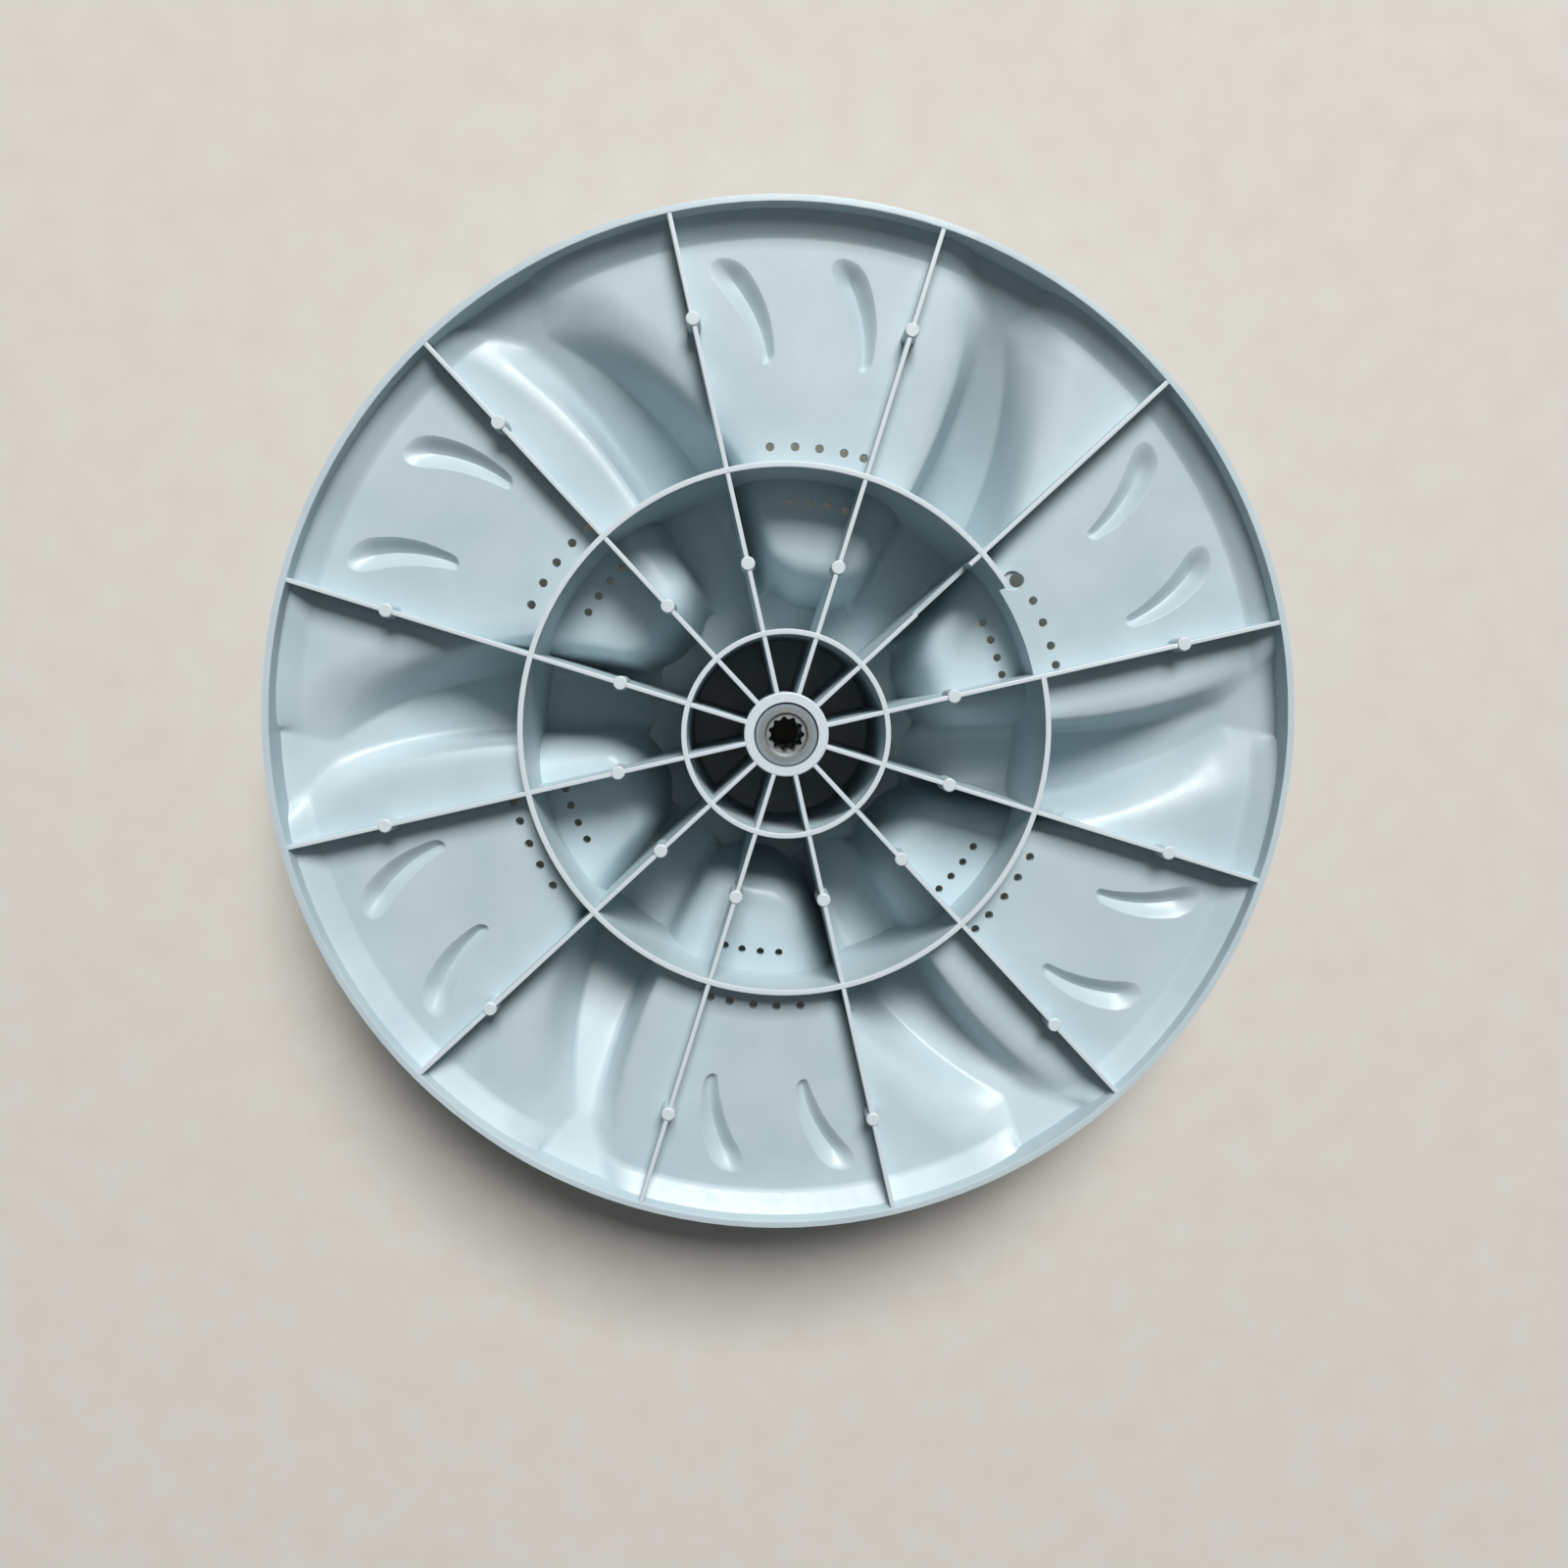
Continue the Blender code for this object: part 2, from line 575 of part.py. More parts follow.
def make_insert(parts, tools, material):
    """The splined bush: a round outline with a toothed hole, given its length."""
    curve = bpy.data.curves.new("spline_outline", "CURVE")
    curve.dimensions = "2D"
    curve.fill_mode = "BOTH"
    curve.extrude = INSERT_LENGTH / 2.0
    sides = RING_SIDES // 2
    outer = []
    for i in range(sides):
        turn = 2.0 * math.pi * i / sides
        outer.append((INSERT_RADIUS * math.cos(turn), INSERT_RADIUS * math.sin(turn)))
    add_outline(curve, outer)
    bore = []
    for tooth in range(SPLINE_TEETH):
        for part, radius in ((-0.28, SPLINE_ROOT_RADIUS), (0.12, SPLINE_ROOT_RADIUS),
                             (0.34, SPLINE_TIP_RADIUS), (0.5, SPLINE_TIP_RADIUS)):
            turn = 2.0 * math.pi * (tooth + part) / SPLINE_TEETH
            bore.append((radius * math.cos(turn), radius * math.sin(turn)))
    add_outline(curve, bore)
    outline = bpy.data.objects.new("spline_outline", curve)
    tools.objects.link(outline)
    insert = applied("spline_insert", outline, parts)
    insert.location = (0.0, 0.0, TOP - INSERT_RECESS - INSERT_LENGTH / 2.0)
    insert.data.materials.append(material)
    return insert


def main():
    clear_scene()
    parts = make_collection("washing_machine_pulsator")
    tools = make_collection("cutters")
    make_body(parts, tools, make_material(*PLASTIC))
    make_insert(parts, tools, make_material(*METAL))


main()
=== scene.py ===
# %% Load the solids
import math

import bmesh
import bpy
from mathutils import Matrix, Vector


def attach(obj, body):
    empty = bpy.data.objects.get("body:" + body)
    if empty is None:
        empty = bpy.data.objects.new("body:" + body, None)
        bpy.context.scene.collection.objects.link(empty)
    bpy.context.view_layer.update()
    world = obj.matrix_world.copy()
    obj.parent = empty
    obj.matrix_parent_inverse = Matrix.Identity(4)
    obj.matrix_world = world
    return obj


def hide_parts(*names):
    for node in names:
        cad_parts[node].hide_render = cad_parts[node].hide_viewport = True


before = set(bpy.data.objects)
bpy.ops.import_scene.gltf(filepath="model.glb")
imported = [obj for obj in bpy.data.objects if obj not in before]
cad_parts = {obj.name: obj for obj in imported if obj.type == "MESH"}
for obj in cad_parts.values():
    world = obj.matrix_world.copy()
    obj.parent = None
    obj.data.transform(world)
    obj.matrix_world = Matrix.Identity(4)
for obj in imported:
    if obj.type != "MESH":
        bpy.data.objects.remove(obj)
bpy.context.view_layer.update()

# %% [markdown]
# The pulsator is the finned disc that stirs the wash at the bottom of a top-loading machine. It lies here
# on its washing side, so the camera looks into the ribbed underside. It is one moulding with a metal bush
# in its hub. The moulding is drawn again below with rounder edges and more facets than the solids have,
# to the same main sizes, and each finished piece then stands for its solid.

# %% Places on the disc
# Sizes are in metres and angles in degrees
RIM_RADIUS = 0.1875
WALL = 0.0025
RIM_INNER = RIM_RADIUS - WALL
TOP = 0.0659
VANES = 6
SECTOR = 360.0 / VANES
FIRST_RIB = 102.7


def place(radius, angle, depth):
    """A point from its radius, its clockwise angle from the first rib and its depth below the ribs' edges."""
    azimuth = math.radians(FIRST_RIB - angle)
    return Vector((radius * math.cos(azimuth), radius * math.sin(azimuth), TOP - depth))


print("ribs' edges are", TOP * 1000.0, "mm above the floor")

# %% [markdown]
# Six vanes sweep round the disc. Four lines run along each of them: the ridge, the two edges of its floor
# and the crest. Each line is known at three radii, and a smooth curve through those three gives it
# everywhere else. Near the rim the floor ends in a flat facet. Inside the middle ring the same four lines
# run on round the lobes.


# %% Helpers for smooth curves
def through(x, places, values):
    """Smooth curve through three points."""
    a, b, c = places
    first = (values[1] - values[0]) / (b - a)
    second = (values[2] - values[1]) / (c - b)
    return values[0] + first * (x - a) + (second - first) / (c - a) * (x - a) * (x - b)


def ease(t):
    """Soft step from 0 to 1."""
    t = min(max(t, 0.0), 1.0)
    return t * t * (3.0 - 2.0 * t)


def mix(a, b, t):
    return a + (b - a) * t


print("a soft step a quarter of the way:", ease(0.25))

# %% Lines along a vane
# Radii at which the plate, the facet, the vanes and the lobes start or end
PLATE_END = 0.1846
FACET = 0.1670
VANE_MIDDLE = 0.1450
VANE_START = 0.0966
LOBE_START = 0.0956
LOBE_MIDDLE = 0.0700
LOBE_END = 0.0500
# Angles of each line at three radii, in the order of the radii
VANE_RADII = (VANE_START, VANE_MIDDLE, PLATE_END)
VANE_RIDGE = (40.3, 38.2, 33.2)
VANE_CREST = (63.2, 51.5, 43.7)
FLOOR_RADII = (VANE_START, VANE_MIDDLE, FACET)
FLOOR_LEAD = (43.0, 41.0, 39.2)
FLOOR_TRAIL = (57.0, 47.2, 41.7)
FACET_ENDS = (34.4, 43.2)
LOBE_RADII = (LOBE_START, LOBE_MIDDLE, LOBE_END)
LOBE_LINES = ((39.8, 40.8, 40.0), (43.0, 43.2, 43.6), (57.0, 61.0, 65.0), (61.8, 65.8, 68.6))


def facet_share(radius):
    """How far along the facet a radius is, from 0 at its inner edge to 1 at the rim."""
    return (radius - FACET) / (PLATE_END - FACET)


def vane_lines(radius):
    """Angles of the ridge, the floor's leading and trailing edge, and the crest."""
    if radius <= LOBE_START:
        return tuple(through(max(radius, LOBE_END), LOBE_RADII, line) for line in LOBE_LINES)
    reach = min(radius, PLATE_END)
    ridge, crest = (through(reach, VANE_RADII, line) for line in (VANE_RIDGE, VANE_CREST))
    lead, trail = (through(min(reach, FACET), FLOOR_RADII, line) for line in (FLOOR_LEAD, FLOOR_TRAIL))
    if reach > FACET:
        lead = mix(FLOOR_LEAD[2], FACET_ENDS[0], facet_share(reach))
        trail = mix(FLOOR_TRAIL[2], FACET_ENDS[1], facet_share(reach))
    return ridge, lead, trail, crest


print("a vane's lines at the ring:", [round(a, 1) for a in vane_lines(VANE_START)])

# %% Depths of floor, plate and lobe
PLATE_DEPTH = 0.0095
FOLD = 0.1770
BAND_DEPTH = 0.0045
VANE_DEPTH = 0.0500
FACET_DEPTH = 0.0165
FACET_END_DEPTH = 0.0090
LOBE_DEPTH = 0.0245
LOBE_ROUND = 0.0690
INNER_FLOOR = 0.0610
DOME_RADIUS = 0.0280
DOME_DEPTH = 0.0634


def floor_depth(radius):
    """Depth of a vane's floor, and of the floor between two lobes inside the ring."""
    if radius > FACET:
        return mix(FACET_DEPTH, FACET_END_DEPTH, min(facet_share(radius), 1.0))
    if radius > LOBE_START:
        return mix(VANE_DEPTH, FACET_DEPTH, (radius - VANE_START) / (FACET - VANE_START))
    if radius > LOBE_END:
        return mix(INNER_FLOOR, VANE_DEPTH, (radius - LOBE_END) / (LOBE_START - LOBE_END))
    return mix(DOME_DEPTH, INNER_FLOOR, ease((radius - DOME_RADIUS) / (LOBE_END - DOME_RADIUS)))


def land_depth(radius):
    """Depth of the plate between two vanes and of the lobe inside the ring."""
    if radius > FOLD:
        return mix(PLATE_DEPTH, BAND_DEPTH, (radius - FOLD) / (RIM_INNER - FOLD))
    if radius > LOBE_START:
        return PLATE_DEPTH
    fall = (LOBE_ROUND - radius) / (LOBE_ROUND - LOBE_END)
    return mix(LOBE_DEPTH, floor_depth(radius), min(max(fall, 0.0), 1.0) ** 3)


print("plate and floor at the ring:", PLATE_DEPTH, round(floor_depth(VANE_START), 4))

# %% Round ends of the lobes
INNER_RING = 0.0382
LOBE_CORNER = 0.0050


def row_shift(radius, across):
    """How far out a row is moved beside a lobe's middle line, at 0, and its edges, at 1, to round its end."""
    from_ring = (LOBE_START - radius) / (LOBE_START - LOBE_ROUND)
    from_dome = (radius - INNER_RING) / (LOBE_END - INNER_RING)
    return LOBE_CORNER * min(max(min(from_ring, from_dome), 0.0), 1.0) * ease(min(across, 2.0 - across) ** 2)


print("largest shift:", row_shift(LOBE_END, 1.0))

# %% [markdown]
# A mould has no sharp corners: hot plastic can't fill them and they would crack. So each corner of the
# section is cut back a little on both sides and joined by a curve. The corners that stand up towards the
# camera get a curve wider than the wall is thick, so that the wall's other face stays smooth as well.

# %% Rounding of the section
# Depth of the rolled edge and its set-back in degrees, for the leading and the trailing side, then the cuts
# in millimetres at the six corners, from the crest over the plate and the ridge to the floor
VANE_EDGES = ((0.0012, 0.0030), (1.9, 3.6), (10.0, 5.0, 2.6, 2.6, 3.0, 1.4))
LOBE_EDGES = ((0.0085, 0.0045), (5.6, 3.4), (6.0, 6.0, 6.0, 6.0, 4.5, 4.5))
# The most that a roll takes of the wall's height, and a cut of a side's length
MOST_ROLL = 0.4
MOST_CUT = 0.42
CURVE_STEPS = (0.0, 0.25, 0.5, 0.75, 1.0)


def rounded(before, corner, after, cut):
    """Points of the curve that replaces a corner, in millimetres across and down."""
    back = before - corner
    on = after - corner
    start = corner + back.normalized() * min(cut, MOST_CUT * back.length)
    end = corner + on.normalized() * min(cut, MOST_CUT * on.length)
    return [start * (1.0 - t) ** 2 + corner * 2.0 * t * (1.0 - t) + end * t * t for t in CURVE_STEPS]


def between(a, b, count):
    """Even points between two, without those two."""
    return [a.lerp(b, (i + 1) / (count + 1)) for i in range(count)]


print("points on a rounded corner:", len(CURVE_STEPS))

# %% Section of one sixth of the disc
LAND_POINTS = 14
SLOPE_POINTS = 3
FLOOR_POINTS = 2


def section(radius):
    """One sixth of the section at a radius: angle, depth and outward shift of each point."""
    ridge, lead, trail, crest = vane_lines(radius)
    low, high = floor_depth(radius), land_depth(radius)
    rolls, backs, cuts = VANE_EDGES if radius > LOBE_START else LOBE_EDGES
    rolls = [min(roll, MOST_ROLL * (low - high)) for roll in rolls]
    first = crest - SECTOR
    flat = [(first, high + rolls[1]), (first + backs[1], high), (ridge - backs[0], high),
            (ridge, high + rolls[0]), (lead, low), (trail, low)]
    # Corners are rounded in millimetres, where one degree is this long
    spread = math.radians(1.0) * radius * 1000.0
    marks = [Vector((angle * spread, depth * 1000.0)) for angle, depth in flat]
    turn = Vector((SECTOR * spread, 0.0))
    around = [marks[-1] - turn] + marks + [marks[0] + turn]
    curves = [rounded(around[i], around[i + 1], around[i + 2], cuts[i]) for i in range(len(marks))]
    points = curves[0] + curves[1] + between(curves[1][-1], curves[2][0], LAND_POINTS) + curves[2] + curves[3]
    points += between(curves[3][-1], curves[4][0], SLOPE_POINTS) + curves[4]
    points += between(curves[4][-1], curves[5][0], FLOOR_POINTS) + curves[5]
    points += between(curves[5][-1], curves[0][0] + turn, SLOPE_POINTS)
    middle, half = (first + ridge) / 2.0, (ridge - first) / 2.0
    angles = [p.x / spread for p in points]
    off_middle = [SECTOR / 2.0 - abs((angle - middle) % SECTOR - SECTOR / 2.0) for angle in angles]
    shifts = [row_shift(radius, off / half) for off in off_middle]
    return [(angle, p.y / 1000.0, shift) for angle, p, shift in zip(angles, points, shifts)]


columns = len(section(RIM_RADIUS))
print("points in one sixth of a section:", columns)

# %% [markdown]
# The sheet starts as one circle at the rim. It is extruded inwards ring by ring, like a drum skin drawn
# in circles, and then each ring is pressed down to its section. Extruding keeps every ring in step with
# the next, so the ridges run cleanly from ring to ring.


# %% Helpers for modelling by hand
def pick_none():
    if bpy.context.object and bpy.context.object.mode != "OBJECT":
        bpy.ops.object.mode_set(mode="OBJECT")
    bpy.ops.object.select_all(action="DESELECT")


def pick(obj, *others):
    pick_none()
    for other in (*others, obj):
        other.hide_set(False)
        other.select_set(True)
    bpy.context.view_layer.objects.active = obj


def finish_modifier(obj, kind, **settings):
    """Adds a modifier with its settings and applies it."""
    pick(obj)
    bpy.ops.object.modifier_add(type=kind)
    modifier = obj.modifiers[-1]
    for name, value in settings.items():
        setattr(modifier, name, value)
    bpy.ops.object.modifier_apply(modifier=modifier.name)


def combine(obj, tool, operation):
    """Joins, cuts or trims a piece with a tool, which is then thrown away."""
    finish_modifier(obj, "BOOLEAN", operation=operation, solver="EXACT", object=tool)
    bpy.data.objects.remove(tool, do_unlink=True)


def faces_of(obj):
    return len(obj.data.polygons)


def flat_radius(point):
    return math.hypot(point.x, point.y)


# %% Radii of the sheet's rings
CORE = 0.0080
DOME_MIDDLE = 0.0200
# Half the width of the step over the facet's inner edge, which rounds it
FACET_ROUND = 0.001


def steps(a, b, count):
    """Even steps from one number to another, without the first."""
    return [a + (b - a) * (i + 1) / count for i in range(count)]


# Rings lie about 1 mm apart where the sheet turns most, 2 or 3 mm elsewhere, and wider in the plain dome
ring_radii = [RIM_INNER, PLATE_END]
ring_radii += steps(PLATE_END, FOLD, 5) + steps(FOLD, FACET + FACET_ROUND, 8) + [FACET - FACET_ROUND]
ring_radii += steps(FACET - FACET_ROUND, VANE_START, 30) + [LOBE_START] + steps(LOBE_START, LOBE_ROUND, 11)
ring_radii += steps(LOBE_ROUND, LOBE_END, 18) + steps(LOBE_END, DOME_RADIUS, 7) + [DOME_MIDDLE, CORE]
print("rings from the rim to the core:", len(ring_radii))


# %% The moulded sheet
def face_up(obj):
    """Turns all faces the same way, up towards the camera."""
    pick(obj)
    bpy.ops.object.mode_set(mode="EDIT")
    bpy.ops.mesh.select_all(action="SELECT")
    bpy.ops.mesh.normals_make_consistent(inside=False)
    bpy.ops.object.mode_set(mode="OBJECT")
    if sum(face.normal.z * face.area for face in obj.data.polygons) < 0.0:
        obj.data.flip_normals()


def make_sheet(name):
    """The moulding's inner face, ring by ring from the rim to the core of the hub."""
    pick_none()
    around = columns * VANES
    bpy.ops.mesh.primitive_circle_add(vertices=around, radius=ring_radii[0], fill_type="NOTHING")
    sheet = bpy.context.object
    sheet.name = name
    bpy.ops.object.mode_set(mode="EDIT")
    bpy.ops.mesh.select_all(action="SELECT")
    for outer, inner in zip(ring_radii, ring_radii[1:]):
        bpy.ops.mesh.extrude_region()
        bpy.ops.transform.resize(value=(inner / outer, inner / outer, 1.0), center_override=(0.0, 0.0, 0.0))
    bpy.ops.object.mode_set(mode="OBJECT")
    pressed = [section(radius) for radius in ring_radii]
    for vert in sheet.data.vertices:
        radius = flat_radius(vert.co)
        ring = min(range(len(ring_radii)), key=lambda i: abs(ring_radii[i] - radius))
        # Columns are counted clockwise from the circle's first point, at the top
        share = (90.0 - math.degrees(math.atan2(vert.co.y, vert.co.x))) % 360.0 / 360.0
        column = int(round(share * around)) % around
        angle, depth, shift = pressed[ring][column % columns]
        if ring == 0:
            depth = 0.0
        vert.co = place(ring_radii[ring] + shift, angle + SECTOR * (column // columns), depth)
    face_up(sheet)
    return sheet


shell = make_sheet("pulsator_moulding")
print("sheet:", faces_of(shell), "faces in", len(ring_radii), "rings")

# %% [markdown]
# Solidify gives the sheet its 2.5 mm wall, on the side away from the camera, as the mould's second half
# does. The rim's two edges are then rounded: the outer corner widely, because hands and laundry touch it,
# and the narrow end face only a little.

# %% Helpers for rounding edges
# Faces that turn by more than this many degrees meet in a corner
CORNER = 40.0
# Heights and widths closer than this count as the same
TINY = 0.0001


def round_edges(obj, is_edge, width, segments):
    """Bevels the edges that a test of their middle point and their two faces picks out."""
    pick(obj)
    bpy.ops.object.mode_set(mode="EDIT")
    bpy.ops.mesh.select_mode(type="EDGE")
    bpy.ops.mesh.select_all(action="DESELECT")
    bm = bmesh.from_edit_mesh(obj.data)
    bm.normal_update()
    picked = 0
    for edge in bm.edges:
        if len(edge.link_faces) == 2:
            middle = (edge.verts[0].co + edge.verts[1].co) / 2.0
            edge.select = bool(is_edge(middle, edge))
            picked += edge.select
    bmesh.update_edit_mesh(obj.data)
    bpy.ops.mesh.bevel(offset=width, segments=segments, profile=0.5, affect="EDGES")
    bpy.ops.object.mode_set(mode="OBJECT")
    return picked


def is_corner(edge):
    return edge.calc_face_angle(0.0) > math.radians(CORNER)


def on_top_corner(middle, edge):
    return middle.z > TOP - TINY and is_corner(edge)


# %% The wall and the rounded rim
RIM_ROUND = 0.0018
END_ROUND = 0.0005


def on_rim_corner(middle, edge):
    """The lower outer edge: within a millimetre of the rim's outside, and clear of its end face."""
    at_outside = flat_radius(middle) > RIM_RADIUS - 0.0008
    below_end = middle.z < TOP - 0.006
    return at_outside and below_end and is_corner(edge)


finish_modifier(shell, "SOLIDIFY", thickness=WALL, offset=-1.0, use_even_offset=True,
                use_quality_normals=True)
print("outer corner:", round_edges(shell, on_rim_corner, RIM_ROUND, 4), "edges")
print("end face:", round_edges(shell, on_top_corner, END_ROUND, 2), "edges")

# %% [markdown]
# Each plate has two comma-shaped hollows, which stand out as bumps on the washing side and rub the
# laundry. A hollow is scooped with a sphere that is drawn out into a comma: narrow at its tip, wide and
# round at its head, and bowed. A second one, larger by the wall, makes the bump.

# %% Shape of a comma
# Radius and angle of its two ends, and the angle to the next one
DROP_TIP = (0.1325, 10.1)
DROP_HEAD = (0.1720, 3.8)
DROP_PITCH = 14.9
DROP_BOW = 0.0044
DROP_HALF_WIDTH = 0.0066
DROP_DEPTH = 0.0037
# Heights above the plate of its edge and of the scoop's lid, which make the cut clean
DROP_LIFT = 0.0002
DROP_LID = 0.0020
# Shares of its length: the round tip, the place where it is widest, and the round head
TIP_ROUND = 0.04
WIDEST = 0.75
HEAD_ROUND = 0.20
# Width just behind the tip, as a share of the widest, and how fast it grows from there
TIP_WIDTH = 0.30
SWELL = 0.55


def comma_width(t):
    """Half width of the comma, from its tip at 0 to its head at 1."""
    width = DROP_HALF_WIDTH * (TIP_WIDTH + (1.0 - TIP_WIDTH) * min(t / WIDEST, 1.0) ** SWELL)
    if t < TIP_ROUND:
        width *= math.sqrt(max(1.0 - (1.0 - t / TIP_ROUND) ** 2, 0.0))
    if t > 1.0 - HEAD_ROUND:
        width *= math.sqrt(max(1.0 - ((t - (1.0 - HEAD_ROUND)) / HEAD_ROUND) ** 2, 0.0))
    return width


def comma_share(t, across):
    """Share of the full depth: two walls meet in a rounded crease, which runs out softly into the head."""
    # It falls away from the tip over 7% of its length, and rises into the head over 28%
    along = min(ease(t / 0.07), ease((1.0 - t) / 0.28)) * min(0.6 + 0.8 * t, 1.0)
    # Straight walls would make a sharp V, and soft steps a flat-bottomed U: this lies between them
    wall = 1.0 - abs(across)
    return along * mix(wall, ease(wall), 0.6)


print("half width in the middle:", round(comma_width(0.5) * 1000.0, 1), "mm")

# %% Scoops for the comma hollows
# Joined pieces reach this far into the wall, so that no two faces lie in one plane
INTO_WALL = WALL * 0.4
# The bump has steeper sides than the hollow, so that the wall between them keeps its thickness
BUMP_STEEPER = 1.6


def comma_point(co, tip, head, grow):
    """Where a point of a unit sphere goes when the sphere is drawn out into a comma."""
    along = (head - tip).normalized()
    side = Vector((-along.y, along.x, 0.0))
    t = (co.x + 1.0) / 2.0
    size = math.sqrt(max(1.0 - co.x ** 2, 0.0))
    across = co.y / size if size > TINY else 0.0
    depth = mix(-DROP_LIFT, DROP_DEPTH, comma_share(t, across))
    if grow:
        depth = mix(INTO_WALL, DROP_DEPTH + WALL, min(comma_share(t, across) * BUMP_STEEPER, 1.0))
    if co.z > TINY:
        depth = INTO_WALL if grow else -DROP_LID
    length = (head - tip).length * t + (2.0 * t - 1.0) * grow
    aside = across * (comma_width(t) + grow) - 4.0 * DROP_BOW * t * (1.0 - t)
    return tip + along * length + side * aside - Vector((0.0, 0.0, depth))


def add_comma(name, angle, grow):
    """One comma, either the hollow itself or, grown by the wall, the bump round it."""
    pick_none()
    bpy.ops.mesh.primitive_uv_sphere_add(segments=40, ring_count=40, radius=1.0,
                                         rotation=(0.0, math.pi / 2, 0.0))
    bpy.ops.object.transform_apply(location=False, rotation=True, scale=True)
    comma = bpy.context.object
    comma.name = name
    tip = place(DROP_TIP[0], DROP_TIP[1] + angle, PLATE_DEPTH)
    head = place(DROP_HEAD[0], DROP_HEAD[1] + angle, PLATE_DEPTH)
    for vert in comma.data.vertices:
        vert.co = comma_point(vert.co, tip, head, grow)
    return comma


def gather(name, pieces):
    """Makes one object of several."""
    pick(*pieces)
    bpy.ops.object.join()
    joined = bpy.context.object
    joined.name = name
    return joined


# %% Bumps
comma_angles = [SECTOR * vane + DROP_PITCH * side for vane in range(VANES) for side in range(2)]
bumps = gather("bumps", [add_comma("bump", angle, WALL) for angle in comma_angles])
combine(shell, bumps, "UNION")
print("shell with", len(comma_angles), "bumps:", faces_of(shell), "faces")

# %% [markdown]
# Two rings, a hub and twelve ribs stiffen the shell, and small round pads stand on the ribs where the
# ejector pins push the moulding out of its mould. Each starts as a plain primitive: the ribs are cubes
# drawn out along a radius, thinner at their free edge so that they leave the mould, and their edges are
# slightly rounded.

# %% Rings and hub
MID_RING = 0.0971
MID_RING_WALL = 0.0021
INNER_RING_WALL = 0.0020
HUB_RADIUS = 0.01545
HUB_ROUND = 0.0007
EDGE_ROUND = 0.00035
# All of them reach down through the shell, and are trimmed to it later
DEEP = TOP + WALL


def add_cylinder(name, radius, spot, length, sides, ends="NGON"):
    """An upright cylinder round a spot, with its place in its mesh."""
    pick_none()
    bpy.ops.mesh.primitive_cylinder_add(vertices=sides, radius=radius, depth=length, end_fill_type=ends,
                                        location=spot)
    bpy.ops.object.transform_apply(location=True, rotation=True, scale=True)
    bpy.context.object.name = name
    return bpy.context.object


def add_ring(name, outer, wall, sides):
    """An upright ring with a rounded free edge."""
    ring = add_cylinder(name, outer, (0.0, 0.0, TOP - DEEP / 2.0), DEEP, sides, "NOTHING")
    finish_modifier(ring, "SOLIDIFY", thickness=wall, offset=-1.0, use_even_offset=True)
    round_edges(ring, on_top_corner, EDGE_ROUND, 2)
    return ring


mid_ring = add_ring("mid_ring", MID_RING, MID_RING_WALL, sides=144)
inner_ring = add_ring("inner_ring", INNER_RING, INNER_RING_WALL, sides=96)
hub = add_cylinder("hub", HUB_RADIUS, (0.0, 0.0, TOP - DEEP / 2.0), DEEP, sides=72)
round_edges(hub, on_top_corner, HUB_ROUND, 3)
print("rings and hub:", faces_of(mid_ring), faces_of(inner_ring), faces_of(hub), "faces")

# %% Ribs
RIB_HALF = 0.00085
# How much thicker a rib is on each side at its foot, and how far its edge lies below the rings'
RIB_TAPER = 0.00030
RIB_STEP = 0.0002


def add_block(name, inner, outer, angle, half, high, low):
    """An upright block along a radius."""
    pick_none()
    middle = place((inner + outer) / 2.0, angle, (high + low) / 2.0)
    bpy.ops.mesh.primitive_cube_add(size=1.0, location=middle, scale=(outer - inner, 2.0 * half, low - high),
                                    rotation=(0.0, 0.0, math.atan2(middle.y, middle.x)))
    bpy.ops.object.transform_apply(location=True, rotation=True, scale=True)
    bpy.context.object.name = name
    return bpy.context.object


def add_rib(angle):
    """A rib from the hub into the rim, wider at its foot."""
    rib = add_block("rib", CORE, RIM_INNER + INTO_WALL, angle, RIB_HALF, RIB_STEP, DEEP)
    direction = place(1.0, angle, TOP).normalized()
    side = Vector((-direction.y, direction.x, 0.0))
    for vert in rib.data.vertices:
        if vert.co.z < TOP * 0.5:
            vert.co += side * (RIB_TAPER if vert.co.dot(side) > 0.0 else -RIB_TAPER)

    def on_long_edge(middle, edge):
        return middle.z > TOP - 0.0010 and abs(middle.dot(side)) > RIB_HALF * 0.5

    round_edges(rib, on_long_edge, EDGE_ROUND, 2)
    return rib


ribs = gather("ribs", [add_rib(SECTOR / 2.0 * i) for i in range(2 * VANES)])
print("ribs:", faces_of(ribs), "faces")

# %% Ejector pads
PAD_RADIUS = 0.0026
PAD_ROUND = 0.0006
# A pad stands 0.2 mm proud of the rings' edges
PAD_LENGTH = 0.0122
PAD_MIDDLE = 0.0059
PAD_PLACES = (0.0627, 0.1490)
# The third rib has no pads
BARE_RIB = 2


def add_pad(radius, angle):
    """The round mark of an ejector pin, a little proud of the rib's edge."""
    pad = add_cylinder("pad", PAD_RADIUS, place(radius, angle, PAD_MIDDLE), PAD_LENGTH, sides=20)
    round_edges(pad, on_top_corner, PAD_ROUND, 3)
    return pad


pad_angles = [SECTOR / 2.0 * i for i in range(2 * VANES) if i != BARE_RIB]
pads = gather("ejector_pads", [add_pad(radius, angle) for angle in pad_angles for radius in PAD_PLACES])
print("pads:", faces_of(pads), "faces")

# %% [markdown]
# One land differs from the others: beside it the ring is cut down to the plate, with a slanting end, next
# to a hole wider than the drain holes, and the rib there dips. The ring and the ribs are cut before
# everything is joined.

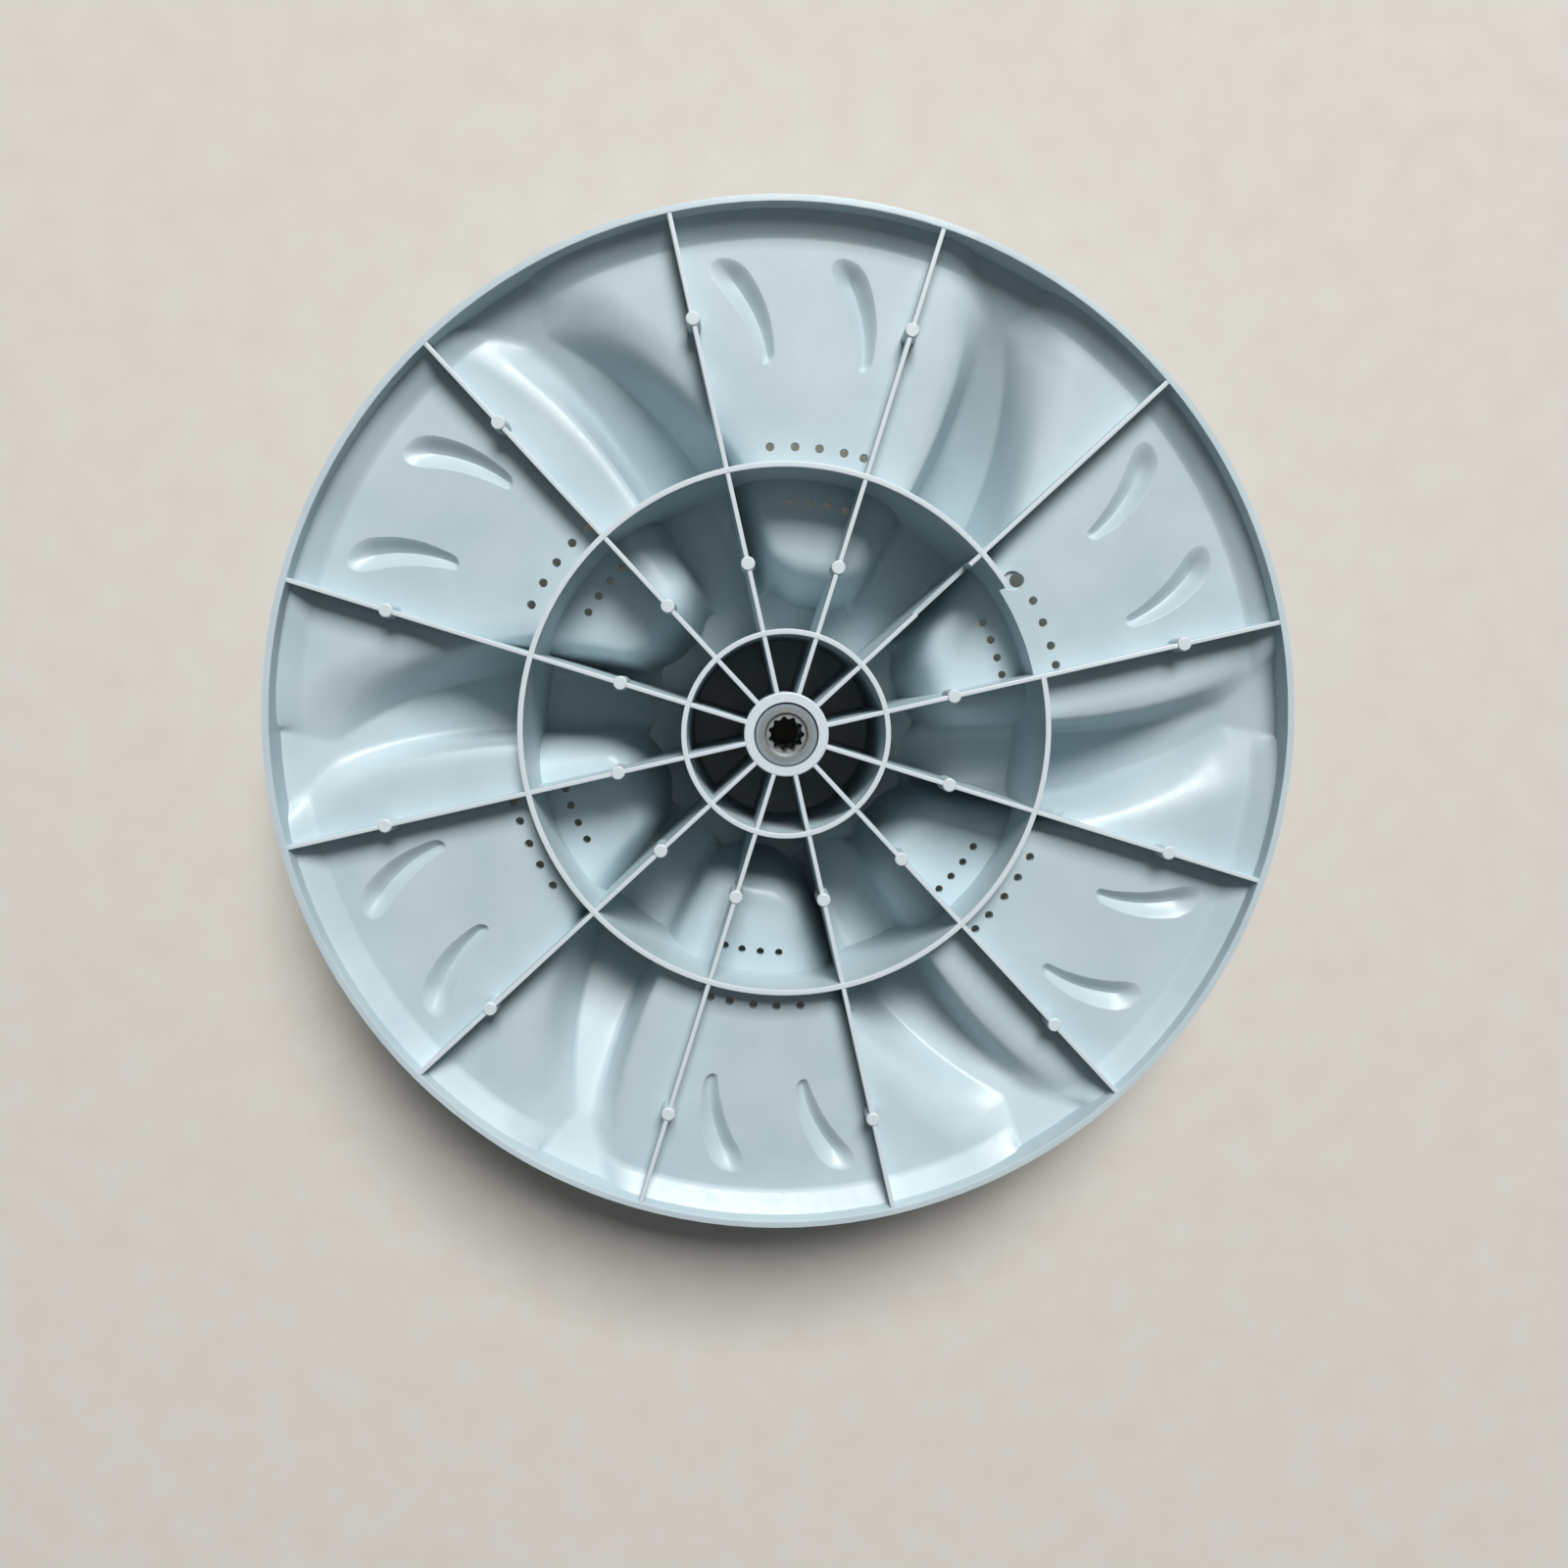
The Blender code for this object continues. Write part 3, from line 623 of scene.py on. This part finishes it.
# %% The dip in one rib
DIP_START, DIP_END, DIP_DEPTH = 0.0640, 0.0900, 0.0090
relief = add_block("relief", DIP_START, DIP_END, SECTOR, 2.0 * RIB_HALF, -WALL, DIP_DEPTH)
combine(ribs, relief, "DIFFERENCE")
print("ribs with the dip:", faces_of(ribs), "faces")

# %% The cut-down stretch of the ring
# Radii of the cutter, angles past the rib where the stretch starts and ends, and the slant of its start
GAP_INNER, GAP_OUTER = 0.0925, 0.0985
GAP_START, GAP_END = 8.2, 29.6
SLANT_OUTSIDE, SLANT_INSIDE = -0.0050, 0.0030

half_gap = math.radians(GAP_END - GAP_START) / 2.0
gap_middle = SECTOR + (GAP_END + GAP_START) / 2.0
gap = add_block("gap", GAP_INNER, GAP_OUTER, gap_middle, MID_RING * math.sin(half_gap), -WALL,
                PLATE_DEPTH - TINY)
outwards = place(1.0, gap_middle, TOP)
clockwise = Vector((outwards.y, -outwards.x, 0.0))
for vert in gap.data.vertices:
    if vert.co.dot(clockwise) < 0.0:
        outside = vert.co.dot(outwards) > (GAP_INNER + GAP_OUTER) / 2.0
        vert.co += clockwise * (SLANT_OUTSIDE if outside else SLANT_INSIDE)
combine(mid_ring, gap, "DIFFERENCE")
print("ring with the gap:", faces_of(mid_ring), "faces")

# %% One lattice
lattice = hub
for piece in (ribs, mid_ring, inner_ring, pads):
    combine(lattice, piece, "UNION")
lattice.name = "lattice"
print("lattice:", faces_of(lattice), "faces")

# %% [markdown]
# The lattice has to end inside the shell's wall, whatever the shell's depth is there. So a second sheet,
# a little deeper than the first, is closed over the top into a block, and only what lies inside that
# block stays.

# %% Trim the lattice to the shell
# The block's skin lies this far into the wall, and this radius tells its outer border from its inner one
CAVITY_INTO_WALL = WALL * 0.55
HALFWAY = 0.1


def pick_border(obj, is_point):
    """Selects, in edit mode, the open edges whose first point passes a test."""
    bpy.ops.mesh.select_mode(type="EDGE")
    bpy.ops.mesh.select_all(action="DESELECT")
    bm = bmesh.from_edit_mesh(obj.data)
    for edge in bm.edges:
        edge.select = edge.is_boundary and is_point(edge.verts[0].co)
    bmesh.update_edit_mesh(obj.data)


def make_cavity():
    """A block that fills the shell from a little inside its wall to above the ribs."""
    cavity = make_sheet("cavity")
    normals = [vert.normal.copy() for vert in cavity.data.vertices]
    for vert, normal in zip(cavity.data.vertices, normals):
        vert.co -= normal * CAVITY_INTO_WALL
    bpy.ops.object.mode_set(mode="EDIT")
    pick_border(cavity, lambda p: flat_radius(p) > HALFWAY)
    bpy.ops.mesh.extrude_region()
    bpy.ops.transform.translate(value=(0.0, 0.0, WALL))
    bpy.ops.mesh.edge_face_add()
    pick_border(cavity, lambda p: flat_radius(p) < HALFWAY)
    bpy.ops.mesh.edge_face_add()
    bpy.ops.mesh.select_all(action="SELECT")
    bpy.ops.mesh.normals_make_consistent(inside=False)
    bpy.ops.object.mode_set(mode="OBJECT")
    return cavity


combine(lattice, make_cavity(), "INTERSECT")
print("trimmed lattice:", faces_of(lattice), "faces")
combine(shell, lattice, "UNION")
print("shell and lattice:", faces_of(shell), "faces")

# %% [markdown]
# Last come the cuts: the hollows of the commas, the drain holes in two arcs on every land, the one wide
# hole in its recess, and the hub's stepped bore with the seat of the bush above and the screw's pocket
# below.

# %% Hollows
hollows = gather("hollows", [add_comma("hollow", angle, 0.0) for angle in comma_angles])
combine(shell, hollows, "DIFFERENCE")
print("shell with hollows:", faces_of(shell), "faces")

# %% Drain holes
# Radius of each arc and angles and half width of its holes
LAND_ARC, LAND_HOLES, LAND_HOLE = 0.1040, (9.6, 14.6, 19.5, 24.5, 28.6), 0.0016
LOBE_ARC, LOBE_HOLES, LOBE_HOLE = 0.0870, (14.1, 18.9, 23.7, 28.2), 0.0015
# Radius, angle and half width of the one wide hole and of its recess, and the recess's depth below the plate
WIDE_HOLE = (0.1026, 69.3, 0.0026)
WIDE_RECESS = (0.1010, 68.9, 0.0037)
RECESS_DEPTH = 0.0014


def add_drill(radius, angle, size, high, low, sides=24):
    """A cutter for a round hole from one depth down to another."""
    return add_cylinder("drill", size, place(radius, angle, (high + low) / 2.0), low - high, sides)


combine(shell, add_drill(*WIDE_RECESS, -WALL, PLATE_DEPTH + RECESS_DEPTH), "DIFFERENCE")
drills = []
for land in range(VANES):
    for i, angle in enumerate(LAND_HOLES):
        hole = (LAND_ARC, SECTOR * land + angle, LAND_HOLE)
        if land == 1 and i == 0:
            hole = WIDE_HOLE
        drills.append(add_drill(*hole, 0.0, PLATE_DEPTH + WALL * 2.0))
    for angle in LOBE_HOLES:
        hole = (LOBE_ARC, SECTOR * land + angle, LOBE_HOLE)
        drills.append(add_drill(*hole, LOBE_DEPTH - WALL, LOBE_DEPTH + WALL * 2.0))
print("drain holes:", len(drills))
combine(shell, gather("drills", drills), "DIFFERENCE")

# %% The hub's bore
SEAT_RADIUS, SEAT_END = 0.0118, 0.0291
SCREW_HOLE_RADIUS = 0.0056
POCKET_RADIUS, POCKET_HEIGHT = 0.0105, 0.0260
BORE_SIDES = 72

plug = add_drill(0.0, 0.0, SEAT_RADIUS, -WALL, SEAT_END, BORE_SIDES)
combine(plug, add_drill(0.0, 0.0, SCREW_HOLE_RADIUS, SEAT_END - WALL, TOP, BORE_SIDES), "UNION")
combine(plug, add_drill(0.0, 0.0, POCKET_RADIUS, TOP - POCKET_HEIGHT, TOP + WALL, BORE_SIDES), "UNION")
combine(shell, plug, "DIFFERENCE")
pick(shell)
bpy.ops.object.shade_smooth_by_angle(angle=math.radians(34.0))
finish_modifier(shell, "WEIGHTED_NORMAL", keep_sharp=True)
print("moulding:", faces_of(shell), "faces")

# %% [markdown]
# The bush is pressed from steel powder and sintered, so its end face is grey and slightly rough, and its
# bore has eleven teeth for the gearbox shaft, with a countersink that leads the shaft in. It starts as a
# circle for the outside, which is drawn in over the face and the countersink and shaped into the teeth's
# outline. That is extruded down the bore, the outside is extruded too, and the two are bridged at the far
# end.

# %% Teeth of the bush
BUSH_RADIUS = 0.0115
TEETH = 11
TOOTH_POINTS = 8
VALLEY_RADIUS, TIP_RADIUS = 0.0066, 0.0057
# Shares of a tooth's pitch: half the valley, and the flank from there up to the tip
VALLEY_SHARE, FLANK_SHARE = 0.14, 0.20


def tooth_radius(share):
    """Radius of the bore, from a valley at 0 over a tooth's tip at a half to the next valley at 1."""
    rise = ease((0.5 - abs(share - 0.5) - VALLEY_SHARE) / FLANK_SHARE)
    return mix(VALLEY_RADIUS, TIP_RADIUS, rise)


def last_radius(obj):
    """Radius of the ring that is selected in edit mode."""
    bm = bmesh.from_edit_mesh(obj.data)
    return max(flat_radius(v.co) for v in bm.verts if v.select)


def shape_teeth(obj):
    """Moves the selected ring into the teeth's outline."""
    bm = bmesh.from_edit_mesh(obj.data)
    for vert in bm.verts:
        if vert.select:
            turn = math.atan2(vert.co.y, vert.co.x) / (2.0 * math.pi) * TEETH
            vert.co.xy = vert.co.xy.normalized() * tooth_radius((turn + 1.0) % 1.0)
    bmesh.update_edit_mesh(obj.data)


print("a tooth is", round((VALLEY_RADIUS - TIP_RADIUS) * 1000.0, 2), "mm high")

# %% The splined bush
BUSH_TOP = 0.0008
BUSH_LENGTH = 0.0280
BUSH_ROUND = 0.0004
COUNTERSINK = 0.0008
# Rings of the face, from the rounded outer edge to the bore: share of the bush's radius, and lift
FACE_RINGS = ((0.965, BUSH_ROUND), (0.70, 0.0), (0.615, -COUNTERSINK), (0.58, 0.0))


def add_bush():
    """The bush, from its outer edge over its face and down its bore."""
    pick_none()
    bpy.ops.mesh.primitive_circle_add(vertices=TEETH * TOOTH_POINTS, radius=BUSH_RADIUS, fill_type="NOTHING",
                                      location=(0.0, 0.0, TOP - BUSH_TOP - BUSH_ROUND))
    bpy.ops.object.transform_apply(location=True, rotation=True, scale=True)
    bush = bpy.context.object
    bush.name = "splined_bush"
    bpy.ops.object.mode_set(mode="EDIT")
    bpy.ops.mesh.select_all(action="SELECT")
    for scale, lift in FACE_RINGS:
        bpy.ops.mesh.extrude_region()
        factor = scale * BUSH_RADIUS / last_radius(bush)
        bpy.ops.transform.resize(value=(factor, factor, 1.0), center_override=(0.0, 0.0, 0.0))
        bpy.ops.transform.translate(value=(0.0, 0.0, lift))
    shape_teeth(bush)
    bpy.ops.mesh.extrude_region()
    bpy.ops.transform.translate(value=(0.0, 0.0, -(BUSH_LENGTH - COUNTERSINK)))
    # The circle that it started from, down the outside
    pick_border(bush, lambda p: p.z > TOP - 0.01)
    bpy.ops.mesh.extrude_region()
    bpy.ops.transform.translate(value=(0.0, 0.0, -(BUSH_LENGTH - BUSH_ROUND)))
    # Both open ends, which lie at one depth
    pick_border(bush, lambda p: True)
    bpy.ops.mesh.bridge_edge_loops()
    bpy.ops.mesh.select_all(action="SELECT")
    bpy.ops.mesh.normals_make_consistent(inside=False)
    bpy.ops.object.mode_set(mode="OBJECT")
    bpy.ops.object.shade_smooth_by_angle(angle=math.radians(30.0))
    return bush


bush = add_bush()
print("bush:", faces_of(bush), "faces")

# %% [markdown]
# Each finish is a Principled material whose colour, roughness and bump come from noise in the piece's own
# coordinates. One function turns a hex colour into Blender's linear one, and one adds a node. Inputs are
# given by their names, or as _0, _1 and so on by their numbers where a node has several of one name.


# %% Helpers for materials
def colour(hex_value):
    """Linear colour of an sRGB hex value."""
    parts = [int(hex_value[i:i + 2], 16) / 255.0 for i in (1, 3, 5)]
    return tuple(p / 12.92 if p <= 0.04045 else ((p + 0.055) / 1.055) ** 2.4 for p in parts) + (1.0,)


def add_node(tree, kind, settings=None, **links):
    """A node with its settings, and its inputs set to values or linked to other nodes' outputs."""
    node = tree.nodes.new(kind)
    for name, value in (settings or {}).items():
        setattr(node, name, value)
    for name, value in links.items():
        by_number = name[0] == "_" and name[1:].isdigit()
        socket = node.inputs[int(name[1:])] if by_number else node.inputs[name.replace("_", " ")]
        if isinstance(value, bpy.types.NodeSocket):
            tree.links.new(value, socket)
        else:
            socket.default_value = value
    return node


def new_material(name):
    material = bpy.data.materials.new(name)
    material.use_nodes = True
    return material, material.node_tree, material.node_tree.nodes["Principled BSDF"]


# %% [markdown]
# Polypropylene is moulded against a finely polished, slightly worn mould. It is satin, with a faint
# cloudiness of colour where the plastic flowed, a fine ripple that breaks up reflections, and rubbed
# spots that are a little glossier than the rest. The top edges of ribs and rings get a painted highlight.

# %% Colour of the moulded polypropylene
plastic, tree, shader = new_material("moulded_polypropylene")
own = add_node(tree, "ShaderNodeTexCoord").outputs["Object"]
# Clouds about 30 mm across, from the flow of the melt
clouds = add_node(tree, "ShaderNodeTexNoise", Vector=own, Scale=33.0, Detail=3.0, Roughness=0.5)
share = add_node(tree, "ShaderNodeMapRange", Value=clouds.outputs["Fac"], From_Min=0.3, From_Max=0.7)
tint = add_node(tree, "ShaderNodeMix", {"data_type": "RGBA"}, _0=share.outputs["Result"],
                _6=colour("#B6C7CD"), _7=colour("#C2D2D7"))
# Painted highlight: paler plastic within a millimetre of the ribs' edges, which lifts them off the plates
# behind
height = add_node(tree, "ShaderNodeSeparateXYZ", Vector=own).outputs["Z"]
edge_highlight = add_node(tree, "ShaderNodeMapRange", Value=height, From_Min=TOP - 0.0012, From_Max=TOP - 0.0002)
# The painted highlight is weaker on the rim's edge. Its distance from the piece's origin tells it from the
# ribs
rim_reach = math.hypot(RIM_INNER, TOP)
reach = add_node(tree, "ShaderNodeVectorMath", {"operation": "LENGTH"}, Vector=own).outputs["Value"]
inside = add_node(tree, "ShaderNodeMapRange", Value=reach, From_Min=rim_reach - 0.001, From_Max=rim_reach,
                  To_Min=1.0, To_Max=0.2)
paler = add_node(tree, "ShaderNodeMath", {"operation": "MULTIPLY"}, _0=edge_highlight.outputs["Result"],
                 _1=inside.outputs["Result"])
# Mixes the pale colour of the painted highlight over the plastic's own colour
edges = add_node(tree, "ShaderNodeMix", {"data_type": "RGBA"}, _0=paler.outputs["Value"],
                 _6=tint.outputs[2], _7=colour("#D3DDE2"))
tree.links.new(edges.outputs[2], shader.inputs["Base Color"])
print("plastic:", plastic.name)

# %% Its gloss and grain
# Rubbed spots a few millimetres across, which make the highlights uneven
rubbed = add_node(tree, "ShaderNodeTexNoise", Vector=own, Scale=220.0, Detail=4.0, Roughness=0.6)
gloss = add_node(tree, "ShaderNodeMapRange", Value=rubbed.outputs["Fac"], From_Min=0.35, From_Max=0.75,
                 To_Min=0.33, To_Max=0.44)
tree.links.new(gloss.outputs["Result"], shader.inputs["Roughness"])
# Ripple 0.8 mm across, drawn coarser than the real grain so that it shows
grain = add_node(tree, "ShaderNodeTexNoise", Vector=own, Scale=1250.0, Detail=2.0, Roughness=0.5)
bump = add_node(tree, "ShaderNodeBump", Height=grain.outputs["Fac"], Strength=0.10, Distance=0.0002)
tree.links.new(bump.outputs["Normal"], shader.inputs["Normal"])
shader.inputs["IOR"].default_value = 1.49
print("nodes in the plastic:", len(tree.nodes))

# %% [markdown]
# Sintered steel is pressed powder, so its face is matt, mid grey and pitted with pores, and it shines
# softly where the shaft and the tool have rubbed it.

# %% Colour of the sintered steel
steel, tree, shader = new_material("sintered_steel")
own = add_node(tree, "ShaderNodeTexCoord").outputs["Object"]
# Pores about 0.3 mm across, which speckle the face
pores = add_node(tree, "ShaderNodeTexNoise", Vector=own, Scale=3200.0, Detail=3.0, Roughness=0.6)
share = add_node(tree, "ShaderNodeMapRange", Value=pores.outputs["Fac"], From_Min=0.35, From_Max=0.65)
tint = add_node(tree, "ShaderNodeMix", {"data_type": "RGBA"}, _0=share.outputs["Result"],
                _6=colour("#83898A"), _7=colour("#A9AEAD"))
# A film of plastic crept over the outer 1.7 mm of the face in the mould, which makes it bluer there. Where it
# starts is again found by the distance from the piece's origin
film_start = math.hypot(BUSH_RADIUS - 0.0018, TOP - BUSH_TOP)
film_full = math.hypot(BUSH_RADIUS - 0.0016, TOP - BUSH_TOP)
reach = add_node(tree, "ShaderNodeVectorMath", {"operation": "LENGTH"}, Vector=own).outputs["Value"]
film = add_node(tree, "ShaderNodeMapRange", Value=reach, From_Min=film_start, From_Max=film_full)
face = add_node(tree, "ShaderNodeMix", {"data_type": "RGBA"}, _0=film.outputs["Result"],
                _6=tint.outputs[2], _7=colour("#9DAAB0"))
tree.links.new(face.outputs[2], shader.inputs["Base Color"])
print("steel:", steel.name)

# %% Its gloss and pores
# Patches of shine 2 mm across
patches = add_node(tree, "ShaderNodeTexNoise", Vector=own, Scale=500.0, Detail=3.0, Roughness=0.5)
gloss = add_node(tree, "ShaderNodeMapRange", Value=patches.outputs["Fac"], From_Min=0.3, From_Max=0.7,
                 To_Min=0.45, To_Max=0.65)
tree.links.new(gloss.outputs["Result"], shader.inputs["Roughness"])
bump = add_node(tree, "ShaderNodeBump", Height=pores.outputs["Fac"], Strength=0.35, Distance=0.0001)
tree.links.new(bump.outputs["Normal"], shader.inputs["Normal"])
shader.inputs["Metallic"].default_value = 0.85
print("nodes in the steel:", len(tree.nodes))

# %% Dress the pieces and let them stand for their solids
for piece, material, node, slot in ((shell, plastic, "pulsator_body", "moulded_polypropylene"),
                                    (bush, steel, "spline_insert", "sintered_steel")):
    piece.data.materials.clear()
    piece.data.materials.append(material)
    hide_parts(node)
    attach(piece, "root")
    print(piece.name, "stands for", node)

# %% [markdown]
# The floor is plain and pale. The photo was taken from almost straight above, with soft daylight from
# beyond its top edge and slightly from the right. So one large lamp stands there, high up and far away,
# and a faint one above keeps the deep pockets from going quite black.

# %% Floor
pick_none()
# A hair below the disc, so that the two share no plane
bpy.ops.mesh.primitive_plane_add(size=4.0, location=(0.0, 0.0, -0.00005))
bpy.ops.object.transform_apply(location=True, rotation=True, scale=True)
floor = bpy.context.object
floor.name = "floor"
paper, tree, shader = new_material("pale_paper")
own = add_node(tree, "ShaderNodeTexCoord").outputs["Object"]
# Faint mottling about 17 mm across
fibres = add_node(tree, "ShaderNodeTexNoise", Vector=own, Scale=60.0, Detail=4.0, Roughness=0.5)
share = add_node(tree, "ShaderNodeMapRange", Value=fibres.outputs["Fac"], From_Min=0.3, From_Max=0.7)
tint = add_node(tree, "ShaderNodeMix", {"data_type": "RGBA"}, _0=share.outputs["Result"],
                _6=colour("#D8D2C8"), _7=colour("#DCD7CE"))
tree.links.new(tint.outputs[2], shader.inputs["Base Color"])
shader.inputs["Roughness"].default_value = 0.9
floor.data.materials.append(paper)
print("floor:", paper.name)


# %% Light
def add_lamp(name, spot, power, size):
    """A square lamp that faces the disc."""
    pick_none()
    bpy.ops.object.light_add(type="AREA", location=spot)
    lamp = bpy.context.object
    lamp.name = name
    lamp.data.energy = power
    lamp.data.size = size
    lamp.rotation_euler = (-Vector(spot)).to_track_quat("-Z", "Y").to_euler()
    return lamp


window = add_lamp("window", spot=(1.20, 5.30, 5.80), power=770.0, size=3.4)
add_lamp("ceiling", spot=(0.1, 0.3, 2.5), power=1.5, size=1.0)
world = bpy.data.worlds.new("room")
bpy.context.scene.world = world
world.use_nodes = True
background = world.node_tree.nodes["Background"]
background.inputs["Color"].default_value = colour("#DCE6F0")
background.inputs["Strength"].default_value = 0.09
bpy.context.scene.view_settings.view_transform = "Standard"
print("the window is", round(window.location.length, 1), "m away")

# %% [markdown]
# The camera's place and turn were worked back from the photo: from the circles of the rim and the rings,
# the straight ribs, and the way the circles' centres drift apart with depth.

# %% Camera
CAMERA_HEIGHT = 0.3910
# The camera's own axes
right, up, back = (0.99939, 0.0, 0.0349), (0.0034, 0.99528, -0.0970), (-0.03474, 0.09706, 0.99467)
pick_none()
bpy.ops.object.camera_add(location=(-0.01456, 0.02017, TOP + CAMERA_HEIGHT))
camera = bpy.context.object
camera.name = "photo_camera"
camera.rotation_euler = Matrix((right, up, back)).transposed().to_euler()
camera.data.lens = 24.75
camera.data.sensor_width = 36.0
bpy.context.scene.camera = camera
print("camera height above the ribs:", CAMERA_HEIGHT * 1000.0, "mm")
